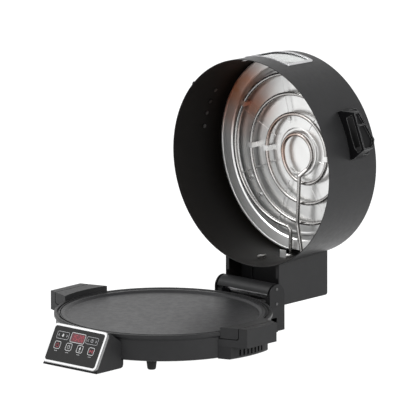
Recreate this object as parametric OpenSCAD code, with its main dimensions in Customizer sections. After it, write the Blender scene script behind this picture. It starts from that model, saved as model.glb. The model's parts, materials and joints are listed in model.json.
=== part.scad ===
// Countertop pizza maker with a deep hinged lid, shown with its lid standing open.
// Frame: +X to the user's right, -Y to the user (control panel), +Y to the hinge, +Z up.
// Z = 0 is the worktop, and X = Y = 0 is the middle of the open object's outline box.
// Base pieces are drawn about the base's own axis, lid pieces about the drum's axis with
// the rim at z = 0 and the lid's front at -Y, as they lie when the lid is shut.

/* [Base] */
// Height of the base's underside over the worktop
foot_h = 17; // [14:0.5:22]
// Radius of the base wall
base_r = 162; // [155:1:172]
// Height of the base, from its underside to the top of its rim
base_h = 41; // [38:0.5:46]
// Thickness of the plastic walls
wall = 2.5; // [2:0.1:3]
// Radius of the rounded bottom edge of the base
base_round = 4; // [3:0.5:6]
// Radius of the service opening in the base's floor
service_r = 104; // [95:1:112]
// Height of the rim ring on top of the base wall
rim_h = 8.5; // [7.5:0.1:10]
// How far the rim ring stands proud of the base wall
rim_proud = 3; // [2:0.1:4]
// Depth of the groove that takes the lid's rim
groove_d = 2.6; // [2:0.1:3]
// Radial gap on each side of the lid's rim in the groove
groove_gap = 1.2; // [1:0.1:1.4]
// Width of the lip between the groove and the baking plate
rim_lip = 1.5; // [1.2:0.1:2]

/* [Feet] */
// Radius of a foot where it stands on the worktop
foot_r = 6.5; // [5.5:0.1:8]
// Radius of a foot where it meets the base
foot_top_r = 8.5; // [8:0.1:10]
// Distance of the feet inside the base wall
foot_inset = 25.5; // [20:0.5:30]
// Angle of the feet from the front and from the back
foot_angle = 35; // [30:1:42]
// Radius of the rubber pads under the hinge bracket
pad_r = 8; // [6:0.5:10]

/* [Baking plate] */
// Radial gap round the baking plate
plate_gap = 0.6; // [0.4:0.1:1]
// Thickness of the baking plate's floor
plate_t = 3.5; // [3:0.1:4]
// Depth of the plate's floor below its raised lip
plate_dish = 3; // [2.5:0.1:3.5]
// Width of the plate's raised lip
plate_lip_w = 9; // [7:0.5:12]
// Width of the ledge that carries the plate
ledge_w = 6.5; // [5:0.5:8]
// Thickness of that ledge
ledge_t = 2.5; // [2:0.1:3]

/* [Heating] */
// Radius of the heating tubes
tube_r = 3; // [2.5:0.1:3.3]
// Thickness of the bright steel pan and reflector
sheet_t = 0.8; // [0.6:0.1:1]
// Depth of the lower pan
pan_d = 15; // [13:0.5:16]
// Distance of the lower heating tube's outer turn inside the plate's ledge
lower_turn_inset = 37.3; // [31:0.1:44]
// Step between the two turns of the lower heating tube
lower_turn_step = 40; // [34:1:44]
// Distance of the upper heating tube below the reflector's edge
upper_tube_gap = 5.5; // [4.5:0.1:7]
// Distance of its outer turn inside the reflector's flat part
coil_inset = 13.9; // [11:0.1:17]
// Half width of the first turn of the upper tube to the right
upper_right_first = 35; // [32:0.5:37]
// Half width of the first turn of the upper tube to the left
upper_left_first = 24.3; // [22:0.1:26]

/* [Control panel] */
// Width of the control panel
pod_w = 109.2; // [100:0.2:116]
// Height of the control panel along its sloping face
pod_face = 62.6; // [58:0.2:66]
// Slope of the panel from the horizontal
pod_tilt = 61.5; // [58:0.5:64]
// Distance of the panel's top edge in front of the base wall
pod_reach = 19.6; // [18:0.2:24]
// Height of the panel's top edge over the base's rim
pod_rise = 6.25; // [3:0.25:8]
// How far the panel's housing reaches below the bright frame's lower edge
pod_foot = 4.5; // [3:0.1:6]
// Width of the bright frame round the panel
bezel_w = 4; // [3:0.2:5]
// Thickness of the bright frame
bezel_t = 4.5; // [4:0.1:5]
// Corner radius of the bright frame
bezel_round = 7; // [6:0.5:9]
// Depth of the touch panel below the bright frame's face
glass_sink = 0.8; // [0.5:0.1:1.2]
// Width of the display window
display_w = 30; // [26:0.5:34]
// Height of the display window
display_h = 15; // [12:0.5:17]

/* [Side handles] */
// Distance of a side handle's outer face from the base wall
handle_reach = 38.6; // [34:0.2:44]
// Length of a side handle's outer face
handle_len = 66; // [60:1:72]
// Length of a side handle where it joins the base
handle_root = 96; // [90:1:104]
// Height of a side handle
handle_h = 29; // [26:0.5:32]
// Height of a side handle over the base's rim
handle_rise = 7.5; // [5:0.5:9]
// Height of the cap that is let into each side handle
handle_cap_h = 18; // [15:0.5:20]
// Distance of the cap's outer edge from the handle's outer face
handle_cap_inset = 13; // [11:0.5:16]
// Width of the seam round that cap
handle_seam = 1.2; // [0.4:0.1:1.6]
// Distance of the vent wall below a handle from the base wall
vent_reach = 18; // [15:0.5:20]
// Number of slots in a vent wall
vent_slots = 7; // [5:1:9]
// Turn of one vent slot from the next about the base's axis, in degrees
vent_pitch = 2.55; // [2.2:0.05:2.8]
// Width of a vent slot
vent_slot_w = 3.4; // [2:0.1:3.4]
// Height of a vent slot
vent_slot_h = 9.5; // [8:0.5:11]

/* [Hinge] */
// Distance of the hinge axis behind the base wall
hinge_back = 35.8; // [34:0.2:38]
// Height of the hinge axis under the base's rim
hinge_drop = 1.6; // [1:0.1:2]
// Width of the hinge bracket over its ears
bracket_w = 112.8; // [108:0.2:118]
// Thickness of an ear
ear_t = 1.6; // [1.2:0.1:2]
// Height of the bracket's top under the hinge axis
bracket_drop = 16.9; // [16.7:0.1:18]
// Width of an ear, from front to back
ear_w = 33.3; // [32.5:0.1:34.5]
// Distance of an ear's middle in front of the hinge axis
ear_front = 3.9; // [3.5:0.1:4.2]
// Height of the bracket's underside over the worktop
bracket_ground = 2.8; // [2:0.2:4]
// Radius of the hinge pins
pin_r = 4; // [3.5:0.1:4.5]
// Radial running gap of the hinge pins
pin_gap = 0.05; // [0.03:0.01:0.08]
// Radius of the fixed hinge lugs
lug_r = 14.5; // [14.4:0.1:14.7]
// Thickness of a fixed hinge lug
lug_t = 10; // [8:0.5:12]
// Outer radius of the lid's hinge barrel
barrel_r = 8.5; // [7.5:0.1:9.5]
// Height of the lid's hinge leaf over the hinge axis
leaf_h = 26; // [23:0.5:30]
// Thickness of the lid's hinge leaf
leaf_t = 3; // [2.5:0.1:3.5]

/* [Lid] */
// Height of the lid
lid_h = 112.3; // [106:0.1:118]
// How far the lid's wall lies inside the base wall
lid_inset = 2.5; // [2:0.1:2.8]
// How much the lid's radius narrows towards its top
lid_taper = 4; // [3:0.2:5]
// Thickness of the lid's sheet metal
lid_t = 1; // [0.8:0.1:1.2]
// Radius of the rounded edge of the lid's top
lid_round = 3; // [2:0.5:4]
// Depth of the lid's rim in the groove
rim_engage = 2; // [1.6:0.1:2]
// Half width of the viewing window, as an angle
window_angle = 16; // [13:0.5:19]
// Lower edge of the viewing window over the rim
window_low = 33.5; // [28:0.5:38]
// Upper edge of the viewing window over the rim
window_high = 91.5; // [84:0.5:93]
// Width of the window's frame
frame_w = 5; // [4:0.5:6]
// Thickness of the window's frame
frame_t = 1.2; // [0.8:0.1:1.6]
// Distance of the reflector's outer edge below the lid's top
reflector_inset = 7.8; // [7.3:0.1:9.3]
// Depth of the reflector's stamped rings
ring_d = 0.8; // [0.5:0.1:1.5]

/* [Lid handles] */
// Angle of the lid handles from the lid's front
grip_angle = 69; // [62:1:76]
// Length of a lid handle along the drum
grip_len = 76; // [70:1:82]
// Length of a lid handle's outer face
grip_face = 59; // [54:1:62]
// How much narrower a lid handle is at its front end
grip_taper = 19.5; // [14:0.5:20]
// How far a lid handle stands out
grip_out = 28; // [26:0.5:31]
// Width of a lid handle
grip_w = 28; // [25:0.5:30]
// Height of a lid handle's lower edge over the rim
grip_low = 50; // [46:0.5:54]
// Thickness of a lid handle's bar
grip_bar = 5.5; // [4.5:0.1:7]
// Thickness of a lid handle's base plate
grip_base = 9.5; // [8.5:0.1:10.5]
// Width of the raised edge round a lid handle's outer face
grip_lip = 2; // [1.6:0.1:3]

/* [Wiring box] */
// Width of the wiring box behind the lid
box_w = 109; // [104:0.2:114]
// Thickness of the wiring box's walls
box_t = 2; // [1.6:0.1:2.2]
// Distance of the box's outer wall behind the hinge axis
box_back = 16.2; // [16:0.1:16.4]
// Height of the box's open edge over the hinge axis
box_edge = 2.5; // [2.2:0.1:3]
// Radius of the box's outer edge
box_round = 4; // [3:0.5:6]

/* [Hidden] */
$fn = 96;
eps = 0.01;
seat = 0.3;
touch = 0.05;

// Heights and radii of the base
floor_z = foot_h;
rim_top = floor_z + base_h;
rim_low = rim_top - rim_h;
rim_r = base_r + rim_proud;
lid_r = base_r - lid_inset;
groove_out = lid_r + groove_gap;
groove_in = lid_r - lid_t - groove_gap;
lip_in = groove_in - rim_lip;
plate_r = lip_in - plate_gap;
plate_top = rim_top - 0.5;
plate_low = plate_top - plate_dish - plate_t;
ledge_in = lip_in - ledge_w;
ledge_low = plate_low - ledge_t;
pan_low = ledge_low - pan_d;
tube_z = plate_low - seat - touch - tube_r;
foot_circle_r = base_r - foot_inset;
lower_turn_r = ledge_in - lower_turn_inset;
board_x = 0.77 * service_r;
board_y = 0.54 * service_r;
inner_r = base_r - wall;
service_lip = 6;
cover_gap = 0.4;
screw_r = 1.5;
screw_head_r = 3;

// Lid rest position and the hinge axis
lid_rim_z = rim_top - rim_engage;
hinge_y = base_r + hinge_back;
hinge_z = rim_top - hinge_drop;
lid_top_r = lid_r - lid_taper;
reflector_z = lid_h - reflector_inset;
upper_tube_z = reflector_z - upper_tube_gap;
function lid_r_at(z) = lid_r - lid_taper * z / lid_h;

// Hinge bracket
bracket_top = hinge_z - bracket_drop;
bracket_seam = bracket_top - 15.5;
ear_y = hinge_y - ear_front;
ear_r = ear_w / 2;
ear_arc_z = bracket_top + 19.2;
bracket_front = ear_y - ear_r;
bracket_rear = ear_y + ear_r;
ear_in = bracket_w / 2 - ear_t;
lug_in = ear_in - lug_t;
ear_screw_y = ear_y - 0.9;
ear_screw_z = [bracket_top + 5.6, bracket_top + 28.5];
box_half = min(box_w / 2, ear_in - seat);
cover_half = box_half - box_t - 1.2;
barrel_half = lug_in - 0.8;

// Control panel
pod_top_y = -(base_r + pod_reach);
pod_top_z = rim_top + pod_rise;
pod_low_y = pod_top_y - pod_face * cos(pod_tilt);
pod_low_z = pod_top_z - pod_face * sin(pod_tilt);
pod_ground = pod_low_z - pod_foot;
bezel_soft = 0.6;
pod_front_y = pod_low_y + bezel_soft * cos(pod_tilt);
pod_back_y = -(base_r - 13.5);
glass_w = pod_w - 2 * bezel_w;
glass_h = pod_face - 2 * bezel_w;
display_y = pod_face * 0.727;

// Side handles
handle_x = base_r + handle_reach;
handle_top = rim_top + handle_rise;
handle_low = handle_top - handle_h;
handle_root_x = base_r - 7;
cap_low = handle_top - handle_cap_h;
cap_x = handle_x - handle_cap_inset;
vent_r = base_r + vent_reach;

// Wiring box, in the lid's own position
box_low = hinge_z + box_edge - lid_rim_z;
box_rear = hinge_y + box_back;
shield_z = 36;

// Middle of the open object's outline box, from the base's axis
open_rear = hinge_y + lid_rim_z + lid_h - hinge_z;
frame_y = -(pod_front_y + open_rear) / 2;

// ---- placing -------------------------------------------------------------

// From the base's axis to the frame's origin
module placed() translate([0, frame_y, 0]) children();

// From the drum's own axis to the open lid
module lid_placed()
    placed()
        translate([0, hinge_y, hinge_z])
            rotate([-90, 0, 0])
                translate([0, -hinge_y, lid_rim_z - hinge_z])
                    children();

// Onto the control panel's face: x across, y up the face, z out of it
module on_panel()
    translate([0, pod_low_y, pod_low_z])
        rotate([pod_tilt, 0, 0])
            children();

// To a point on the drum at an angle from the lid's front: x along the drum's
// girth, y out from it, z up, with y = 0 on the wall at the rim
module on_drum(angle)
    rotate([0, 0, angle])
        mirror([0, 1, 0])
            translate([0, lid_r, 0])
                children();

// ---- shared shapes -------------------------------------------------------

// A cylinder that lies along X, from x0 to x1
module along_x(x0, x1, r)
    translate([x0, 0, 0])
        rotate([0, 90, 0])
            cylinder(h = x1 - x0, r = r);

// An outline in Y and Z, drawn out along X from x0 to x1
module extrude_x(x0, x1)
    translate([x0, 0, 0])
        rotate([90, 0, 90])
            linear_extrude(height = x1 - x0)
                children();

// A rectangle with round corners, its middle at the origin
module round_rect(w, h, r) {
    square([w - 2 * r, h], center = true);
    square([w, h - 2 * r], center = true);
    for (x = [-1, 1], y = [-1, 1])
        translate([x * (w / 2 - r), y * (h / 2 - r)])
            circle(r = r, $fn = 48);
}

// A straight round rod between two points
module rod(p, q, r) {
    d = q - p;
    length = norm(d);
    translate(p)
        rotate([0, acos(d[2] / length), atan2(d[1], d[0])])
            cylinder(h = length, r = r, $fn = 16);
}

// A ball that fills a bend between two rods
module joint(p, r)
    translate(p)
        sphere(r = r + 0.1, $fn = 16);

// A bent round rod: an arc of radius turn_r about a centre, from angle a0 through da
module arc_rod(centre, turn_r, a0, da, r)
    translate(centre)
        rotate([0, 0, a0])
            rotate_extrude(angle = da, $fn = 72)
                translate([turn_r, 0])
                    circle(r = r, $fn = 16);

// A pan head screw that points down from z = 0, with its head above
module screw(length) {
    translate([0, 0, -length])
        cylinder(h = length, r = screw_r, $fn = 32);
    cylinder(h = 1.8, r = screw_head_r, $fn = 32);
}

// The solid that the drum's outer wall bounds, from z0 to z1
module drum_solid(z0, z1, in = 0)
    translate([0, 0, z0])
        cylinder(h = z1 - z0, r1 = lid_r_at(z0) - in, r2 = lid_r_at(z1) - in, $fn = 180);

// ---- base ----------------------------------------------------------------

module base_shell() color([0.09, 0.09, 0.09]) placed() {
    difference() {
        rotate_extrude($fn = 180)
            polygon(concat(
                [[service_r, floor_z], [base_r - base_round, floor_z]],
                [for (a = [-75:15:0]) [base_r - base_round + base_round * cos(a),
                    floor_z + base_round + base_round * sin(a)]],
                [[base_r, rim_low], [inner_r, rim_low], [inner_r, floor_z + wall],
                 [service_r - service_lip, floor_z + wall + 2],
                 [service_r - service_lip, floor_z + 2], [service_r, floor_z + 2]]));
        for (a = foot_angles())
            rotate([0, 0, a])
                translate([0, -foot_circle_r, floor_z - 1])
                    cylinder(h = wall + 2, r = screw_head_r + touch, $fn = 48);
        // passages for the wires to the panel and to the lid, and the vents' air
        for (side = [-1, 1])
            rotate([0, 0, side * 90])
                for (i = [-2:2])
                    rotate([0, 0, i * 5])
                        translate([-3, -base_r - 2, floor_z + 7])
                            cube([6, wall + 4, 9]);
        for (y = [-1, 1])
            translate([0, y * base_r, (floor_z + rim_low) / 2])
                rotate([90, 0, 0])
                    cylinder(h = 12, r = 5.5, center = true, $fn = 48);
        for (a = cover_screw_angles())
            rotate([0, 0, a])
                translate([0, service_r - 3, floor_z])
                    cylinder(h = wall + 4, r = screw_r + touch, $fn = 32);
    }
}

function foot_angles() = [-foot_angle, foot_angle, 180 - foot_angle, 180 + foot_angle];
function cover_screw_angles() = [45, 135, 225, 315];

module base_rim() color([0.1, 0.1, 0.1]) placed()
    rotate_extrude($fn = 180)
        polygon([
            [base_r, rim_low], [rim_r, rim_low + 3.5], [rim_r, rim_top - 1], [rim_r - 1, rim_top],
            [groove_out, rim_top], [groove_out, rim_top - groove_d],
            [groove_in, rim_top - groove_d], [groove_in, rim_top], [lip_in, rim_top],
            [lip_in, plate_low], [ledge_in, plate_low], [ledge_in, ledge_low],
            [inner_r - touch, ledge_low], [inner_r - touch, rim_low]]);

module bottom_cover() color([0.08, 0.08, 0.08]) placed()
    difference() {
        union() {
            translate([0, 0, floor_z])
                cylinder(h = 2, r = service_r - cover_gap, $fn = 120);
            for (x = [-1, 1], y = [-1, 1])
                translate([x * (board_x / 2 - 6), y * (board_y / 2 - 6), floor_z])
                    cylinder(h = 5, r = 3, $fn = 32);
        }
        for (a = cover_screw_angles())
            rotate([0, 0, a])
                translate([0, service_r - 3, floor_z - 1])
                    cylinder(h = 4, r = screw_r + touch, $fn = 32);
        for (x = [-6:6], side = [-1, 1])
            translate([x * 9 - 1.5, side * 56 - 14, floor_z - 1])
                cube([3, 28, 4]);
    }

module bottom_cover_screws() color("silver") placed()
    for (a = cover_screw_angles())
        rotate([0, 0, a])
            translate([0, service_r - 3, floor_z])
                rotate([180, 0, 0])
                    screw(wall + 3);

module foot(angle) placed()
    rotate([0, 0, angle])
        translate([0, -foot_circle_r, 0]) {
            translate([0, 0, 1.5])
                cylinder(h = foot_h - 1.5, r1 = foot_r, r2 = foot_top_r, $fn = 64);
            cylinder(h = 1.5, r1 = foot_r - 1.2, r2 = foot_r, $fn = 64);
            translate([0, 0, foot_h])
                cylinder(h = wall, r = screw_head_r, $fn = 48);
        }

module foot_front_left() color([0.05, 0.05, 0.05]) foot(-foot_angle);
module foot_front_right() color([0.05, 0.05, 0.05]) foot(foot_angle);
module foot_rear_left() color([0.05, 0.05, 0.05]) foot(180 + foot_angle);
module foot_rear_right() color([0.05, 0.05, 0.05]) foot(180 - foot_angle);

module bracket_pads() color([0.05, 0.05, 0.05]) placed()
    for (x = [-1, 1])
        translate([x * (bracket_w / 2 - pad_r - 4), ear_y + 3, 0])
            cylinder(h = bracket_ground + 1, r = pad_r, $fn = 64);

// ---- lower heating -------------------------------------------------------

module heater_pan() color([0.75, 0.75, 0.76]) placed()
    difference() {
        rotate_extrude($fn = 180)
            polygon([
                [0, pan_low], [ledge_in - 12, pan_low], [ledge_in - 3, ledge_low - sheet_t],
                [ledge_in + 4, ledge_low - sheet_t], [ledge_in + 4, ledge_low],
                [ledge_in - 3.6, ledge_low], [ledge_in - 12.6, pan_low + sheet_t],
                [0, pan_low + sheet_t]]);
        for (x = lower_lead_x())
            translate([x, lower_lead_y(x), pan_low - 1])
                cylinder(h = 4, r = tube_r + 1, $fn = 32);
    }

// The lower tube's two leads turn down where its outer and inner turns end
function lower_lead_x() = [lower_turn_r * sin(12), (lower_turn_r - lower_turn_step) * sin(12)];
function lower_lead_y(x) = x / tan(12);

module lower_heating_tube() color([0.35, 0.34, 0.33]) placed() {
    inner_turn = lower_turn_r - lower_turn_step;
    last = 140;
    rotate([0, 0, 90 - 12 - last]) {
        for (r = [inner_turn, lower_turn_r]) {
            arc_rod([0, 0, tube_z], r, 180, 180, tube_r);
            arc_rod([0, 0, tube_z], r, 0, last, tube_r);
            joint([r * cos(last), r * sin(last), tube_z], tube_r);
            translate([r * cos(last), r * sin(last), floor_z + wall + 3])
                cylinder(h = tube_z - floor_z - wall - 3, r = tube_r, $fn = 16);
        }
        arc_rod([-inner_turn - lower_turn_step / 2, 0, tube_z], lower_turn_step / 2, 0, 180,
            tube_r);
    }
}

module lower_tube_posts() color("silver") placed()
    for (a = [30, 150, 270], r = [lower_turn_r - lower_turn_step, lower_turn_r])
        rotate([0, 0, a + 20])
            translate([r - 4, -3, pan_low + sheet_t])
                cube([8, 6, tube_z - tube_r - pan_low - sheet_t]);

module lower_thermostat() color([0.8, 0.78, 0.7]) placed()
    translate([0, -35, pan_low]) {
        mirror([0, 0, 1])
            cylinder(h = 6, r = 8, $fn = 48);
        translate([-13, -4, -1])
            cube([26, 8, 1]);
    }

module power_board() color([0.1, 0.35, 0.18]) placed()
    translate([0, 0, floor_z + 5]) {
        translate([-board_x / 2, -board_y / 2, 0])
            cube([board_x, board_y, 1.6]);
        translate([-board_x * 0.38, -board_y * 0.3, 1.6])
            cube([board_x / 4, board_y / 4, pan_low - floor_z - 11]);
        translate([board_x * 0.05, board_y * 0.04, 1.6])
            cube([board_x * 0.3, board_y * 0.32, 4]);
    }

module baking_plate() color([0.2, 0.2, 0.21]) placed()
    rotate_extrude($fn = 180)
        polygon([
            [0, plate_low], [plate_r, plate_low], [plate_r, plate_top - 0.8],
            [plate_r - 0.8, plate_top], [plate_r - plate_lip_w + 3, plate_top],
            [plate_r - plate_lip_w - 1, plate_low + plate_t], [0, plate_low + plate_t]]);

// ---- control panel -------------------------------------------------------

// Corners of the panel's housing, right behind its bright frame, in Y and Z
pod_back = (bezel_t + touch) * [sin(pod_tilt), -cos(pod_tilt)];
pod_top = [pod_top_y, pod_top_z] + pod_back;
pod_low = [pod_low_y, pod_low_z] + pod_back;
pod_slope = 35;

// Side outline of the housing
module pod_outline() {
    reach = pod_back_y + 14 - pod_top[0];
    polygon([
        [pod_low[0] - 1, pod_ground], [pod_low[0] - 1, pod_ground + 1.6], pod_low, pod_top,
        [pod_top[0] + reach, pod_top[1] - reach * tan(pod_slope)],
        [pod_back_y, floor_z], [pod_back_y, pod_ground + 5],
        [pod_back_y - 1.5, pod_ground + 1.5], [pod_back_y - 5, pod_ground]]);
}

// Its hollow, which ends in front of the base's wall and under the base's floor
module pod_hollow() {
    end = -base_r - 1.5;
    start = pod_top + wall * [0.1, -1.6];
    polygon([
        [pod_low[0] + wall, pod_ground + wall], pod_low + wall * [1, 0.4], start,
        [end, start[1] - (end - start[0]) * tan(pod_slope)], [end, floor_z - wall],
        [pod_back_y - wall, floor_z - wall], [pod_back_y - wall - 1, pod_ground + wall]]);
}

module control_housing() color([0.08, 0.08, 0.08]) placed()
    difference() {
        extrude_x(-pod_w / 2 + 0.3, pod_w / 2 - 0.3)
            pod_outline();
        extrude_x(-pod_w / 2 + wall + 0.3, pod_w / 2 - wall - 0.3)
            pod_hollow();
        on_panel()
            translate([-glass_w / 2 + 3, bezel_w + 3, -bezel_t - 6])
                cube([glass_w - 6, glass_h - 6, 8]);
        translate([0, 0, floor_z - touch])
            cylinder(h = base_h, r = base_r + touch, $fn = 180);
        translate([0, 0, rim_low - touch])
            cylinder(h = rim_h, r = rim_r + touch, $fn = 180);
    }

module control_bezel() color([0.9, 0.9, 0.9]) placed()
    on_panel()
        translate([0, pod_face / 2, -bezel_t])
            difference() {
                union() {
                    linear_extrude(height = bezel_t - 0.8)
                        round_rect(pod_w, pod_face, bezel_round);
                    translate([0, 0, bezel_t - 0.8])
                        linear_extrude(height = 0.8)
                            round_rect(pod_w - 2 * bezel_soft, pod_face - 2 * bezel_soft,
                            bezel_round - bezel_soft);
                }
                translate([0, 0, -1])
                    linear_extrude(height = bezel_t + 2)
                        round_rect(glass_w, glass_h, bezel_round - bezel_w + 1);
            }

module control_glass() color([0.03, 0.03, 0.03]) placed()
    on_panel()
        translate([0, pod_face / 2, -bezel_t])
            linear_extrude(height = bezel_t - glass_sink)
                round_rect(glass_w - 0.3, glass_h - 0.3, bezel_round - bezel_w + 0.85);

module display_module() color([0.3, 0.05, 0.05]) placed()
    on_panel()
        translate([-display_w / 2, display_y - display_h / 2, -bezel_t - 7])
            cube([display_w, display_h, 7]);

module control_board() color([0.1, 0.35, 0.18]) placed()
    on_panel() {
        translate([-glass_w / 2 + 6, bezel_w + 6, -bezel_t - 8.6])
            cube([glass_w - 12, glass_h - 12, 1.6]);
        translate([-glass_w / 2 + 12, bezel_w + 10, -bezel_t - 7])
            cube([14, 10, 3]);
    }

// ---- side handles --------------------------------------------------------

// Plan of the right handle, drawn in by the amount given
module handle_plan(in = 0)
    polygon([
        [handle_root_x, -handle_root / 2 + in], [handle_x - in, -handle_len / 2 + in * 0.6],
        [handle_x - in, handle_len / 2 - in * 0.6], [handle_root_x, handle_root / 2 - in]]);

// The round body that the handles are cut to
module base_cut() {
    cylinder(h = rim_low, r = base_r + touch, $fn = 180);
    translate([0, 0, rim_low - eps])
        cylinder(h = rim_h + handle_rise + 2, r = rim_r + touch, $fn = 180);
}

// Space for the cap in the handle's top: its lower outer edges are rounded
module cap_space(gap = 0) {
    r = 4;
    translate([0, handle_root / 2 + 1, 0])
        rotate([90, 0, 0])
            linear_extrude(height = handle_root + 2)
                difference() {
                    translate([handle_root_x - 1, cap_low + gap])
                        square([cap_x - handle_root_x + 1 - gap, handle_cap_h + 5]);
                    difference() {
                        translate([cap_x - gap - r, cap_low + gap])
                            square([r + 1, r]);
                        translate([cap_x - gap - r, cap_low + gap + r])
                            circle(r = r, $fn = 48);
                    }
                }
}

module handle_shell()
    difference() {
        translate([0, 0, handle_low])
            linear_extrude(height = handle_h)
                handle_plan();
        base_cut();
        cap_space();
        difference() {
            translate([0, 0, handle_low + wall])
                linear_extrude(height = cap_low - handle_low - 2 * wall)
                    handle_plan(wall * 1.6);
            cylinder(h = handle_top, r = rim_r + wall, $fn = 180);
        }
    }

module handle_cap()
    difference() {
        intersection() {
            translate([0, 0, handle_low])
                linear_extrude(height = handle_h)
                    handle_plan();
            cap_space(handle_seam);
        }
        base_cut();
        difference() {
            translate([0, 0, cap_low - 1])
                linear_extrude(height = handle_cap_h - wall + 1)
                    handle_plan(wall * 2);
            cylinder(h = handle_top, r = rim_r + wall, $fn = 180);
            translate([cap_x - wall - 1, -handle_root, cap_low - 2])
                cube([20, 2 * handle_root, handle_h]);
        }
    }

module vent_housing() {
    top = handle_low;
    difference() {
        intersection() {
            translate([0, 0, floor_z])
                linear_extrude(height = top - floor_z)
                    handle_plan();
            union() {
                translate([0, 0, floor_z + 2])
                    cylinder(h = top - floor_z - 2, r = vent_r, $fn = 180);
                translate([0, 0, floor_z])
                    cylinder(h = 2, r1 = vent_r - 2, r2 = vent_r, $fn = 180);
            }
        }
        cylinder(h = rim_top, r = base_r + touch, $fn = 180);
        intersection() {
            translate([0, 0, floor_z + wall])
                linear_extrude(height = top - floor_z - 2 * wall)
                    handle_plan(wall * 1.6);
            cylinder(h = rim_top, r = vent_r - wall, $fn = 180);
        }
        for (i = [0:vent_slots - 1])
            rotate([0, 0, (i - (vent_slots - 1) / 2) * vent_pitch])
                translate([vent_r - wall - 3, -vent_slot_w / 2, floor_z + 4])
                    cube([wall + 6, vent_slot_w, vent_slot_h]);
    }
}

module handle_right() color([0.09, 0.09, 0.09]) placed() handle_shell();
module handle_right_cap() color([0.1, 0.1, 0.1]) placed() handle_cap();
module handle_left() color([0.09, 0.09, 0.09]) placed() mirror([1, 0, 0]) handle_shell();
module handle_left_cap() color([0.1, 0.1, 0.1]) placed() mirror([1, 0, 0]) handle_cap();
module vent_right() color([0.08, 0.08, 0.08]) placed() vent_housing();
module vent_left() color([0.08, 0.08, 0.08]) placed() mirror([1, 0, 0]) vent_housing();

// ---- hinge, fixed half ---------------------------------------------------

module hinge_bracket_upper() color([0.09, 0.09, 0.09]) placed()
    difference() {
        union() {
            difference() {
                translate([-bracket_w / 2, base_r * 0.9, bracket_seam])
                    cube([bracket_w, bracket_rear - base_r * 0.9, bracket_top - bracket_seam]);
                translate([-bracket_w / 2 + wall, base_r * 0.9 - 1, bracket_seam - 1])
                    cube([bracket_w - 2 * wall, bracket_rear - base_r * 0.9 + 1 - wall,
                        bracket_top - bracket_seam - wall + 1]);
            }
            // lugs: an eye round the hinge axis on a foot in front of it
            for (side = [0, 1])
                mirror([side, 0, 0])
                    difference() {
                        union() {
                            translate([0, hinge_y, hinge_z])
                                along_x(lug_in, ear_in - touch, lug_r);
                            translate([lug_in, bracket_front + 3, bracket_top - 1])
                                cube([lug_t - touch, hinge_y - bracket_front - 2.5,
                                    bracket_drop + 1]);
                        }
                        translate([lug_in - 1, hinge_y + 0.5, bracket_top - 2])
                            cube([lug_t + 2, lug_r, 3.2]);
                    }
        }
        translate([0, hinge_y, hinge_z])
            along_x(-ear_in - 1, ear_in + 1, pin_r + pin_gap);
        for (x = [-ear_in, ear_in - 8], z = ear_screw_z)
            translate([0, ear_screw_y, z])
                along_x(x, x + 8, screw_r + touch);
        cylinder(h = rim_low + eps, r = base_r + touch, $fn = 180);
        translate([0, 0, rim_low])
            cylinder(h = rim_h + 1, r = rim_r + touch, $fn = 180);
        translate([-14, hinge_y - 8, bracket_top - wall - 1])
            cube([28, 14, wall + 2]);
    }

module hinge_bracket_lower() color([0.08, 0.08, 0.08]) placed()
    difference() {
        union() {
            translate([-bracket_w / 2, bracket_front, bracket_ground])
                cube([bracket_w, bracket_rear - bracket_front, bracket_seam - bracket_ground]);
            translate([-bracket_w / 2, base_r * 0.9, floor_z])
                cube([bracket_w, bracket_front - base_r * 0.9 + 1, bracket_seam - floor_z]);
        }
        translate([-bracket_w / 2 + wall, bracket_front + wall, bracket_ground + wall])
            cube([bracket_w - 2 * wall, bracket_rear - bracket_front - 2 * wall,
                bracket_seam - bracket_ground]);
        translate([-bracket_w / 2 + wall, base_r * 0.9 - 1, floor_z + wall])
            cube([bracket_w - 2 * wall, bracket_front - base_r * 0.9 + wall + 2, bracket_seam]);
        cylinder(h = rim_low, r = base_r + touch, $fn = 180);
        // notches in the sides, under the seam
        for (x = [-bracket_w / 2 - 1, bracket_w / 2 - wall - 1])
            translate([x, bracket_front + 4, bracket_seam - 8])
                cube([wall + 2, 12, 8 + eps]);
        // the inlet's opening
        translate([-14, bracket_rear - wall - 1, bracket_ground + wall + 0.5])
            cube([28, wall + 2, bracket_seam - bracket_ground - wall - 1.5]);
        for (x = [-1, 1])
            translate([x * (bracket_w / 2 - pad_r - 4), ear_y + 3, bracket_ground - 1])
                cylinder(h = 2, r = pad_r + touch, $fn = 64);
    }

module ear()
    difference() {
        extrude_x(ear_in, ear_in + ear_t) {
            translate([ear_y, ear_arc_z])
                circle(r = ear_r, $fn = 96);
            translate([ear_y - ear_r, bracket_top])
                square([ear_w, ear_arc_z - bracket_top]);
        }
        for (z = ear_screw_z)
            translate([0, ear_screw_y, z])
                along_x(ear_in - 1, ear_in + ear_t + 1, screw_r + touch);
    }

module ear_right() color([0.1, 0.1, 0.1]) placed() ear();
module ear_left() color([0.1, 0.1, 0.1]) placed() mirror([1, 0, 0]) ear();

module ear_screws() color([0.3, 0.3, 0.3]) placed()
    for (side = [0, 1], z = ear_screw_z)
        mirror([side, 0, 0])
            translate([ear_in + ear_t, ear_screw_y, z])
                rotate([0, 90, 0]) {
                    cylinder(h = 0.6, r = 2.2, $fn = 32);
                    translate([0, 0, -8])
                        cylinder(h = 8, r = screw_r, $fn = 32);
                }

module hinge_pin()
    translate([0, hinge_y, hinge_z])
        along_x(barrel_half - 14, ear_in - touch, pin_r);

module hinge_pin_right() color("silver") placed() hinge_pin();
module hinge_pin_left() color("silver") placed() mirror([1, 0, 0]) hinge_pin();

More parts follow.
